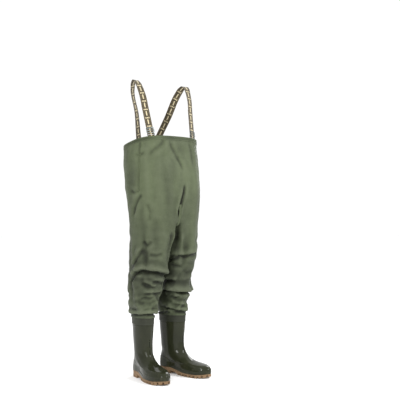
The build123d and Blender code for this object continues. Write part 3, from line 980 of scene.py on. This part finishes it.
def painted_crease_shading(verts, normals, faces, shade):
    """How deep each vertex lies in a crease, from -1 on a sharp ridge to 1 in a deep fold, as painted
    shade, with painted shade added below overhanging folds and between the legs; negative values paint
    a highlight on ridges.
    """
    even = smoothed(verts, faces, np.full(len(verts), SMOOTHING), 16)
    depth = ((even - verts) * normals).sum(1)
    # Painted shade between the legs, on the inner faces below the crotch.
    painted_shade_between_legs = smoothstep(0.045, 0.008, np.abs(verts[:, 0])) * smoothstep(0.80, 0.72, verts[:, 2])
    return np.clip(depth / DEEP_CREASE * 0.8 + shade * 0.75 + painted_shade_between_legs * 0.5, -1, 0.92)


def build_garment():
    """The sheet as it hangs: a soft bend, then only the fine creases of the simulation."""
    garment = Garment()
    base = rounded_crotch(garment, np.array(garment.verts, float))
    free = 1.0 - np.array(garment.held)
    normals = vertex_normals(base, garment.faces)
    bend = soft_noise(base * (1, 1, 1.6), 9.0, 1) * BEND_DEPTH
    verts = base + normals * (bend * free)[:, None]
    moved = settled(garment, verts, SIM_FRAMES) - verts
    even = smoothed(moved, garment.faces, np.full(len(moved), SMOOTHING), 60)
    slack = 0.25 + 0.95 * smoothstep(0.78, 0.60, verts[:, 2])
    verts = verts + (moved - even) * (slack * free)[:, None]
    return garment, verts


points, quads, parts, uvs = finer(*build_garment())
points, shade = with_folds(points, quads)
points = rumpled(points, quads)
parts = np.array(parts)
normals = vertex_normals(points, quads)
SURFACE = BVHTree.FromPolygons(points.tolist(), quads.tolist())
# Painted shade and painted highlight for each vertex of the cloth, kept as its crease attribute.
PAINTED_SHADING = painted_crease_shading(points, normals, quads, shade)


def panel(part, thickness=CLOTH, outward=0.0, panel_uvs=uvs):
    """One panel of the finished sheet, with both its skins."""
    mine = quads[parts == part]
    return thick_piece(part + "_cloth", points, normals, mine, panel_uvs, thickness, outward, PAINTED_SHADING)


def fabric_panels():
    hem_uvs = np.stack([uvs[:, 0], hem_z(points[:, 1]) - points[:, 2]], 1)
    hem = panel("hem", HEM_THICKNESS, HEM_OUTWARD, hem_uvs)
    dress(hem, "hem", "upper_fabric", "torso", "hem_band")
    bibs = []
    for part in ("bib_front", "bib_back"):
        bibs.append(panel(part))
        dress(bibs[-1], "cloth", "upper_fabric", "torso", part + "_panel")
    for side, sign in SIDES:
        hip = panel(side + "_hip")
        dress(hip, "cloth", "upper_fabric")
        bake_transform(hip)
        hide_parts(side + "_hip_panel")
        leg = panel(side + "_leg")
        dress(leg, "cloth", "upper_fabric")
        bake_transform(leg)
        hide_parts(side + "_thigh_panel", side + "_knee_panel", side + "_shin_panel")


def ribbon(name, rows, width, thickness, material, slot, body=None, *nodes):
    """A flat band with rounded edges. Each row has a middle, the way across and a normal."""
    half, edge = width / 2, thickness * 0.35
    places = np.linspace(-half, half, 11).tolist()
    places[0], places[-1] = edge - half, half - edge
    profile = [(x, thickness / 2) for x in places] + [(half, 0.0)]
    profile += [(-x, -thickness / 2) for x in places] + [(-half, 0.0)]
    middles = [middle for middle, _, _ in rows]
    along = length_along(np.array(middles))
    verts, uv_of = [], []
    for (middle, across, normal), length in zip(rows, along):
        for x, y in profile:
            verts.append(middle + across * x + normal * y)
            uv_of.append((x + half, length))
    count = len(profile)
    faces = grid_faces(len(rows), count)
    faces.append(tuple(range(count)))
    faces.append(tuple(len(verts) - 1 - k for k in range(count)))
    piece = make_object(name, verts, faces, [uv_of[i] for face in faces for i in face])
    fix_normals(piece)
    dress(piece, material, slot, body, *nodes)
    return piece


def tape(name, rows, width, node):
    """A stitched tape on the torso."""
    ribbon(name, rows, width, TAPE_THICKNESS, "seam", "upper_fabric", "torso", node)


def webbing(name, rows, width, body=None, *nodes):
    """A ribbon of the straps' webbing."""
    return ribbon(name, rows, width, STRAP, "webbing", "webbing", body, *nodes)


def side_seams():
    """A lapped seam down each side of the bib, laid on the cloth where it lies."""
    for side, sign in SIDES:
        rows = []
        top = hem_z(SEAM_Y) - HEM_HEIGHT + 0.003
        for z in np.linspace(top, BIB_BOTTOM_Z + 0.001, 60):
            place, normal, _, _ = SURFACE.ray_cast(Vector((0, SEAM_Y, z)), Vector((-sign, 0, 0)))
            across = Vector((0, 0, 1)).cross(normal).normalized()
            rows.append((place + normal * TAPE_LIFT, across, normal))
        tape(side + "_side_seam_tape", rows, SEAM_WIDTH, side + "_side_seam")


def crotch_tape():
    """The reinforcing tape along the seam that runs between the legs."""
    middle = Vector((0, 0.02, 0.83))
    front, back = (SURFACE.ray_cast(middle, Vector((0, way, 0)))[0].y for way in (-1, 1))
    heights = np.linspace(0.865, CROTCH_Z + 0.004, 12)
    guide = [Vector((0, front - 0.01, z)) for z in heights]
    guide += [Vector((0, y, CROTCH_Z - 0.03)) for y in np.linspace(front, back, 34)]
    guide += [Vector((0, back + 0.01, z)) for z in heights[::-1]]
    rows = []
    for point in guide:
        place, normal, _, _ = SURFACE.find_nearest(point)
        rows.append((Vector((0, place.y, place.z)), Vector((0, normal.y, normal.z)).normalized()))
    for _ in range(3):
        for k in range(1, len(rows) - 1):
            place, normal = (rows[k - 1][n] + rows[k + 1][n] + rows[k][n] * 2 for n in (0, 1))
            rows[k] = (place / 4, normal.normalized())
    rows = [(place + normal * TAPE_LIFT, Vector((1, 0, 0)), normal) for place, normal in rows]
    tape("crotch_tape", rows, CROTCH_TAPE_WIDTH, "crotch_gusset")


fabric_panels()
side_seams()
crotch_tape()


# ---- boots ----

def smooth_outline():
    """The sole's outline as a dense closed curve, in metres, starting at the back of the heel."""
    corners = np.array(SOLE_OUTLINE, float) / 1000
    line = []
    for k in range(len(corners)):
        p0, p1, p2, p3 = (corners[(k + d) % len(corners)] for d in (-1, 0, 1, 2))
        c0, c1, c2 = (np.linalg.norm(b - a) ** 0.5 for a, b in ((p0, p1), (p1, p2), (p2, p3)))
        m1 = ((p1 - p0) / c0 - (p2 - p0) / (c0 + c1) + (p2 - p1) / c1) * c1
        m2 = ((p2 - p1) / c1 - (p3 - p1) / (c1 + c2) + (p3 - p2) / c2) * c1
        for s in np.linspace(0, 1, OUTLINE_STEPS, endpoint=False):
            line.append((1 + 2 * s) * (1 - s) ** 2 * p1 + s * (1 - s) ** 2 * m1
                        + s * s * (3 - 2 * s) * p2 + s * s * (s - 1) * m2)
    return np.array(line)


def evenly(line, count):
    """Points evenly spaced round a closed line."""
    line = np.concatenate([line, line[:1]])
    length = length_along(line)
    return sample(line, length, np.linspace(0, length[-1], count, endpoint=False))


def seat_z(y):
    """Height of the surface that the boot's upper stands on, in the heel's frame."""
    places = [-0.310, -0.228, -0.136, -0.048]
    return np.interp(y, places, [BALL_SEAT_Z + TOE_RISE, BALL_SEAT_Z, BALL_SEAT_Z, HEEL_SEAT_Z])


def slice_at(z):
    """The boot's level outline at one height, evenly spaced, starting at the back."""
    heel_y, toe_y, half_width, roundness = at_height(BOOT, z)
    roundness = float(np.clip(roundness, 0, 1))
    middle, half_length = (heel_y + toe_y) / 2, (heel_y - toe_y) / 2
    along = heel_y + (OUTLINE[:, 1] - SOLE_BACK) / SOLE_LENGTH * (heel_y - toe_y)
    foot_x = OUTLINE[:, 0] / OUTLINE_HALF_WIDTH * half_width
    share = np.clip(np.abs(along - middle) / half_length, 0, 1)
    oval_x = np.copysign(half_width * np.sqrt(1 - share * share), OUTLINE[:, 0])
    return evenly(np.stack([(1 - roundness) * foot_x + roundness * oval_x, along], 1), BOOT_COLUMNS)


OUTLINE = smooth_outline()
SLICE_HEIGHTS = np.linspace(0.008, 0.306, 597)
SLICES = np.array([slice_at(z) for z in SLICE_HEIGHTS])


def boot_surface(rows, low, high):
    """Rows of points on the boot between two edges, whose heights may depend on y."""
    profile = SLICES[:, BOOT_COLUMNS // 2, 1]
    length = length_along(np.stack([profile, SLICE_HEIGHTS], 1))
    first, last = np.interp((BOOT_LOW_Z, BOOT_TOP_Z), SLICE_HEIGHTS, length)
    steps = np.linspace(0, 1, rows)
    if high(0) - low(0) > 0.2:
        levels = np.interp(steps, (length - first) / (last - first), SLICE_HEIGHTS)
        steps = (levels - BOOT_LOW_Z) / (BOOT_TOP_Z - BOOT_LOW_Z)
    grid = []
    for step in steps:
        row = []
        for xs, ys in SLICES.transpose(1, 2, 0):
            z = BOOT_LOW_Z
            for _ in range(3):
                y = np.interp(z, SLICE_HEIGHTS, ys)
                z = low(y) + (high(y) - low(y)) * step
            row.append((np.interp(z, SLICE_HEIGHTS, xs), np.interp(z, SLICE_HEIGHTS, ys), z))
        grid.append(row)
    return np.array(grid)


def placed(verts, sign):
    """From the heel's frame to the waders' frame; the left boot is the right one's mirror."""
    x = verts[:, 0] * math.cos(SPLAY) - verts[:, 1] * math.sin(SPLAY) + HEEL_X
    y = verts[:, 0] * math.sin(SPLAY) + verts[:, 1] * math.cos(SPLAY) + HEEL_Y
    return np.stack([x * sign, y, verts[:, 2]], 1)


def on_boot(name, sign, verts, faces, normals, uv, thickness, outward=0.0):
    """A closed piece from a sheet in the heel's frame, put in its place on one boot."""
    place = placed(verts, sign)
    turned = placed(verts + normals, sign) - place
    faces = faces[:, ::-1] if sign < 0 else faces
    return thick_piece(name, place, turned, faces, uv, thickness, outward)


def boot_sheet(name, sign, grid, thickness, outward, relief):
    """A layer of the boot, raised by the relief, with its UVs round it and up it."""
    verts = grid.reshape(-1, 3)
    way = (verts - verts.mean(0)) * (1, 1, 0)
    faces, out = facing(verts, grid_faces(len(grid), BOOT_COLUMNS), way)
    if relief:
        verts = verts + out * relief(verts)[:, None]
        out = vertex_normals(verts, faces)
    columns = np.tile(np.arange(BOOT_COLUMNS) / BOOT_COLUMNS * 0.3, len(grid))
    uv = np.stack([columns, verts[:, 2]], 1)
    return on_boot(name, sign, verts, faces, out, uv, thickness, outward)


def boot_relief(verts):
    """Moulded detail: heel counter, toe cap, ankle creases, a ridge up the back and front."""
    x, y, z = verts.T
    rise = z - seat_z(y)
    counter_edge = 0.086 - 0.35 * np.clip(-y - 0.005, 0, 0.2)
    counter = smoothstep(0.0015, -0.0015, z - counter_edge) * smoothstep(-0.075, -0.071, y)
    cap_edge = -0.196 - 0.18 * (x / 0.05) ** 2 * 0.12
    cap = smoothstep(0.0015, -0.0015, y - cap_edge)
    bumper = smoothstep(0.0260, 0.0235, rise) * smoothstep(-0.12, -0.16, y)
    crease = np.sin((z - 0.6 * y) * 150 + 3 * x / 0.04)
    crease = crease * bump_at(z, 0.105, 0.030) * bump_at(y, -0.105, 0.045)
    ridge = bump_at(x, 0, 0.0022) * smoothstep(0.10, 0.14, z) * 0.0007
    wave = soft_noise(verts, 14.0, 9) * 0.0012 * smoothstep(0.08, 0.14, z)
    ring = bump_at(z, 0.262, 0.0020) * 0.0009
    dent = bump_at(z, 0.118, 0.016) * 0.0022 * smoothstep(-0.02, 0.02, y)
    moulded = counter * 0.0013 + cap * 0.0008 + bumper * 0.0012
    return moulded + crease * 0.0011 + ridge + wave + ring - dent


def band_relief(verts):
    """The weld band: a bead at each edge and three fine ridges between."""
    z = verts[:, 2]
    ridges = sum(bump_at(z, level, 0.0014) for level in (0.279, 0.286, 0.293))
    beads = sum(bump_at(z, level, 0.0016) for level in (0.2725, 0.3000))
    return ridges * 0.0004 + beads * 0.0008


def insole(side, sign):
    """A felt pad on the seat, from rings that shrink towards its middle line."""
    rings = []
    edge = slice_at(0.036)
    middle = np.stack([np.zeros(BOOT_COLUMNS), edge[:, 1] * 0.8 - 0.02], 1)
    for step in (1.0, 0.97, 0.88, 0.70, 0.45, 0.20, 0.02):
        flat = (edge * 0.92 - (0, 0.010)) * step + middle * (1 - step)
        z = seat_z(flat[:, 1]) + INSOLE_LIFT + 0.001 * (1 - step) - (0.0012 if step == 1.0 else 0)
        rings.append(np.stack([flat[:, 0], flat[:, 1], z], 1))
    verts = np.concatenate(rings)
    faces, up = facing(verts, grid_faces(len(rings), BOOT_COLUMNS), (0, 0, 1))
    piece = on_boot(side + "_insole_pad", sign, verts, faces, up, verts[:, :2], INSOLE_WALL)
    dress(piece, "insole", "insole_felt", side + "_shin", side + "_insole")


def bevelled(name, node, width, material, slot, body):
    """A piece with the CAD node's own shape and softened edges."""
    form = bmesh.new()
    form.from_mesh(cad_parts[node].data)
    bmesh.ops.remove_doubles(form, verts=form.verts, dist=2e-5)
    bmesh.ops.dissolve_limit(form, angle_limit=math.radians(3), verts=form.verts, edges=form.edges)
    sharp = [e for e in form.edges if e.is_manifold and e.calc_face_angle(0) > math.radians(32)]
    bmesh.ops.bevel(form, geom=sharp, offset=width, segments=2, profile=0.6, affect="EDGES",
                    clamp_overlap=True)
    mesh = bpy.data.meshes.new(name)
    form.to_mesh(mesh)
    form.free()
    mesh.polygons.foreach_set("use_smooth", [True] * len(mesh.polygons))
    mesh.set_sharp_from_angle(angle=math.radians(40))
    dress(linked(name, mesh), material, slot, body, node)


def welt(side, sign):
    """The lip round the top of the outsole, where the upper meets it."""
    ring = evenly(OUTLINE, 240)
    tangent = np.roll(ring, -1, axis=0) - np.roll(ring, 1, axis=0)
    out = np.stack([-tangent[:, 1], tangent[:, 0]], 1)
    out /= np.linalg.norm(out, axis=1, keepdims=True)
    if (out * (ring - ring.mean(0))).sum() < 0:
        out = -out
    centres = np.column_stack([ring, seat_z(ring[:, 1]) - WELT_DROP])
    outs = np.column_stack([out * WELT_RADIUS * 0.9, np.zeros(len(ring))])
    ups = np.tile((0, 0, WELT_RADIUS), (len(ring), 1))
    verts, faces = tube(centres, outs, ups, 10)
    piece = make_object(side + "_welt", placed(verts, sign), faces)
    fix_normals(piece)
    dress(piece, "sole", "gum_sole", side + "_shin")


def above_seat(rise, toe_rise=0.0):
    """An edge at a height above the seat, higher at the toe by toe_rise."""
    return lambda y: seat_z(y) + rise + toe_rise * smoothstep(-0.14, -0.22, y)


# Boot layers: name, node, material, slot, wall, outward, relief, then rows, lower and upper edge
BOOT_LAYERS = [
    ("boot", "boot_shell", "boot", "boot_pvc", BOOT_WALL, 0.0, boot_relief,
     (118, above_seat(0.0002), level(BOOT_TOP_Z))),
    ("boot_rand", "rand", "rand", "boot_pvc", COVER_WALL, 0.0017, None,
     (12, above_seat(0.0003), above_seat(RAND_HEIGHT, RAND_TOE_RISE))),
    ("weld_band_pvc", "weld_band", "band", "weld_strip", COVER_WALL, 0.0014, band_relief,
     (34, level(0.2705), level(0.3025))),
    ("boot_lining", "lining", "lining", "boot_lining", LINING_WALL, -0.0034, None,
     (40, level(0.105), level(0.2955))),
]


def boots():
    grids = [boot_surface(*layer[-1]) for layer in BOOT_LAYERS]
    for side, sign in SIDES:
        for layer, grid in zip(BOOT_LAYERS, grids):
            name, node, material, slot, wall, outward, relief, _ = layer
            piece = boot_sheet(side + "_" + name, sign, grid, wall, outward, relief)
            dress(piece, material, slot, side + "_shin", side + "_" + node)
        insole(side, sign)
        bevelled(side + "_sole", side + "_outsole", 0.0009, "sole", "gum_sole", side + "_shin")
        welt(side, sign)


boots()


# ---- suspenders ----

# The strap's middle line from the front ring to the back ring, with its yaw in degrees
STRAP_PATH = [
    (FRONT_RING + FRONT_RUN.normalized() * STRAP_START, FRONT_YAW),
    (FRONT_RING + FRONT_RUN * 0.35, FRONT_YAW),
    (FRONT_RING + FRONT_RUN * 0.7, FRONT_YAW),
    (FRONT_RING + FRONT_RUN, FRONT_YAW + 2),
    (Vector((-0.1545, -0.005 + SHIFT_Y, 1.450)), -6),
    (Vector((-0.1575, 0.011 + SHIFT_Y, 1.477)), 4),
    (Vector((-0.1580, 0.026 + SHIFT_Y, 1.4865)), 12),
    (Vector((-0.1540, 0.048 + SHIFT_Y, 1.476)), 20),
    (Vector((-0.1460, 0.066 + SHIFT_Y, 1.450)), 24),
    (BACK_RING + BACK_RUN * 0.6, 22),
    (BACK_RING + BACK_RUN * 0.3, 15),
    (BACK_RING + BACK_RUN.normalized() * STRAP_START, BACK_YAW),
]
TAIL_PATH = [(FRONT_RING + FRONT_RUN.normalized() * d, FRONT_YAW) for d in TAIL_PLACES]


def crossed(up, yaw):
    """The way across a strap whose run and yaw are known."""
    angle = math.radians(yaw)
    across = Vector((math.cos(angle), math.sin(angle), 0))
    return (across - up * across.dot(up)).normalized()


def mirrored(vector, sign):
    return Vector((vector.x * sign, vector.y, vector.z))


def smooth_path(path, step=0.004):
    """Points and yaws on a smooth curve through the path's points."""
    place = np.array([[*p, yaw] for p, yaw in path])
    chord = length_along(place[:, :3])
    table = [(c, *row) for c, row in zip(chord, place)]
    at = np.linspace(0, chord[-1], int(chord[-1] / step) + 1)
    return np.array([at_height(table, a) for a in at])


def strap_rows(sign, path, lift=0.0):
    """A ribbon's rows along a path, set off from it by lift."""
    rows = []
    line = smooth_path(path)
    for k, (x, y, z, yaw) in enumerate(line):
        before, after = line[max(k - 1, 0), :3], line[min(k + 1, len(line) - 1), :3]
        run = Vector(after - before).normalized()
        across = crossed(run, yaw)
        normal = across.cross(run).normalized()
        place = Vector((x, y, z)) + normal * lift
        rows.append([mirrored(vector, sign) for vector in (place, across, normal)])
    return rows


def fold_round(bar, up, across, reach):
    """Rows that run up one side of a bar, over it and back down the other side by reach."""
    out = across.cross(up).normalized()
    rows = [(bar + out * FOLD_RADIUS - up * reach * (1 - k / 6), across, out) for k in range(6)]
    for k in range(13):
        angle = math.pi * k / 12
        normal = out * math.cos(angle) + up * math.sin(angle)
        rows.append((bar + normal * FOLD_RADIUS, across, normal))
    rows += [(bar - out * FOLD_RADIUS - up * reach * k / 6, across, -out) for k in range(1, 7)]
    return rows


def wire_ring(name, place, up, across, body, node):
    """A rectangular loop of round wire with rounded corners."""
    half_width = RING_WIDTH / 2 - RING_WIRE - RING_CORNER
    half_height = RING_HEIGHT / 2 - RING_WIRE - RING_CORNER
    path = []
    for turn, (sx, sy) in enumerate(((1, 1), (-1, 1), (-1, -1), (1, -1))):
        for k in range(7):
            angle = math.radians(90 * turn + 15 * k)
            x = sx * half_width + RING_CORNER * math.cos(angle)
            y = sy * half_height + RING_CORNER * math.sin(angle)
            path.append(across * x + up * y)
    out = across.cross(up).normalized()
    tangents = [path[(k + 1) % len(path)] - path[k - 1] for k in range(len(path))]
    away = [tangent.cross(out).normalized() * RING_WIRE for tangent in tangents]
    centres = [place + point for point in path]
    piece = make_object(name, *tube(centres, away, [out * RING_WIRE] * len(path), 12))
    fix_normals(piece)
    dress(piece, "metal", "buckle_metal", body, node)


def ring_end(end, body, sign, ring_place, run, yaw):
    """A ring, the strap's loop round its upper bar and the bib's tab round its lower bar."""
    up = mirrored(run.normalized(), sign)
    across = mirrored(crossed(run.normalized(), yaw), sign)
    place = mirrored(ring_place, sign)
    wire_ring(end + "_ring_wire", place, up, across, body, end + "_ring")
    bar = up * (RING_HEIGHT / 2 - RING_WIRE)
    loop = fold_round(place + bar, -up, across, LOOP_REACH)
    webbing(end + "_loop", loop, LOOP_WIDTH, body)
    rows = fold_round(place - bar, up, across, TAB_REACH)
    down = mirrored(TAB_DROP, sign) / TAB_STEPS
    before = [(rows[0][0] + down * k, across, rows[0][2]) for k in range(TAB_STEPS, 0, -1)]
    after = [(rows[-1][0] + down * k, across, rows[-1][2]) for k in range(1, TAB_STEPS + 1)]
    tab = webbing(end + "_tab_webbing", before + rows + after, TAB_WIDTH)
    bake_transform(tab)
    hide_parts(end + "_tab")


def suspenders():
    for side, sign in SIDES:
        body = side + "_brace"
        strap = strap_rows(sign, STRAP_PATH)
        webbing(side + "_strap_webbing", strap, STRAP_WIDTH, body, side + "_strap")
        webbing(side + "_strap_tail", strap_rows(sign, TAIL_PATH, TAIL_LIFT), LOOP_WIDTH, body)
        ring_end(side + "_front", body, sign, FRONT_RING, FRONT_RUN, FRONT_YAW)
        ring_end(side + "_back", body, sign, BACK_RING, BACK_RUN, 180 + BACK_YAW)
        bevelled(side + "_slide_buckle", side + "_adjuster", 0.0005, "metal", "buckle_metal",
                 side + "_slide")


suspenders()


# ---- camera, light and floor ----

CAMERA_TURN = math.radians(-38)
CAMERA_DISTANCE = 4.0
EYE_Z = 0.80
AIM_ACROSS = 0.172
AIM_Z = 0.841
LENS = 67.8
FLOOR_HALF = 30.0

# Lamps: name, place, aim, width, height, watts
LAMPS = [
    ("key", (1.3, -2.6, 2.5), (0, 0, 0.8), 0.35, 1.8, 85),
    ("side", (-3.2, -1.6, 1.9), (0, 0, 0.4), 0.30, 1.8, 80),
    ("rim", (2.6, 1.2, 2.0), (0, 0, 0.9), 1.0, 1.0, 25),
]


def camera():
    across = Vector((math.cos(CAMERA_TURN), math.sin(CAMERA_TURN), 0))
    back = Vector((math.sin(CAMERA_TURN), -math.cos(CAMERA_TURN), 0))
    data = bpy.data.cameras.new("camera")
    data.lens = LENS
    piece = linked("camera", data)
    eye = back * CAMERA_DISTANCE + Vector((0, 0, EYE_Z))
    looking(piece, eye, across * AIM_ACROSS + Vector((0, 0, AIM_Z)))
    bpy.context.scene.camera = piece


def studio():
    world = bpy.data.worlds.new("studio")
    world.use_nodes = True
    background = world.node_tree.nodes["Background"]
    background.inputs[0].default_value = (1, 1, 1, 1)
    background.inputs[1].default_value = 1.05
    bpy.context.scene.world = world
    bpy.context.scene.view_settings.view_transform = "Standard"
    for name, place, aim, width, height, watts in LAMPS:
        data = bpy.data.lights.new(name, "AREA")
        data.shape = "RECTANGLE"
        data.size = width
        data.size_y = height
        data.energy = watts
        looking(linked(name, data), place, aim)
    corners = [(x * FLOOR_HALF, y * FLOOR_HALF, 0) for x, y in ((-1, -1), (1, -1), (1, 1), (-1, 1))]
    floor = make_object("floor", corners, [(0, 1, 2, 3)])
    s = Shader("pale_floor", 0.85)
    floor.data.materials.append(s.finish(s.ramp(s.noise(0.6, 2.0), (0.2, 0.955), (0.8, 0.975))))


camera()
studio()
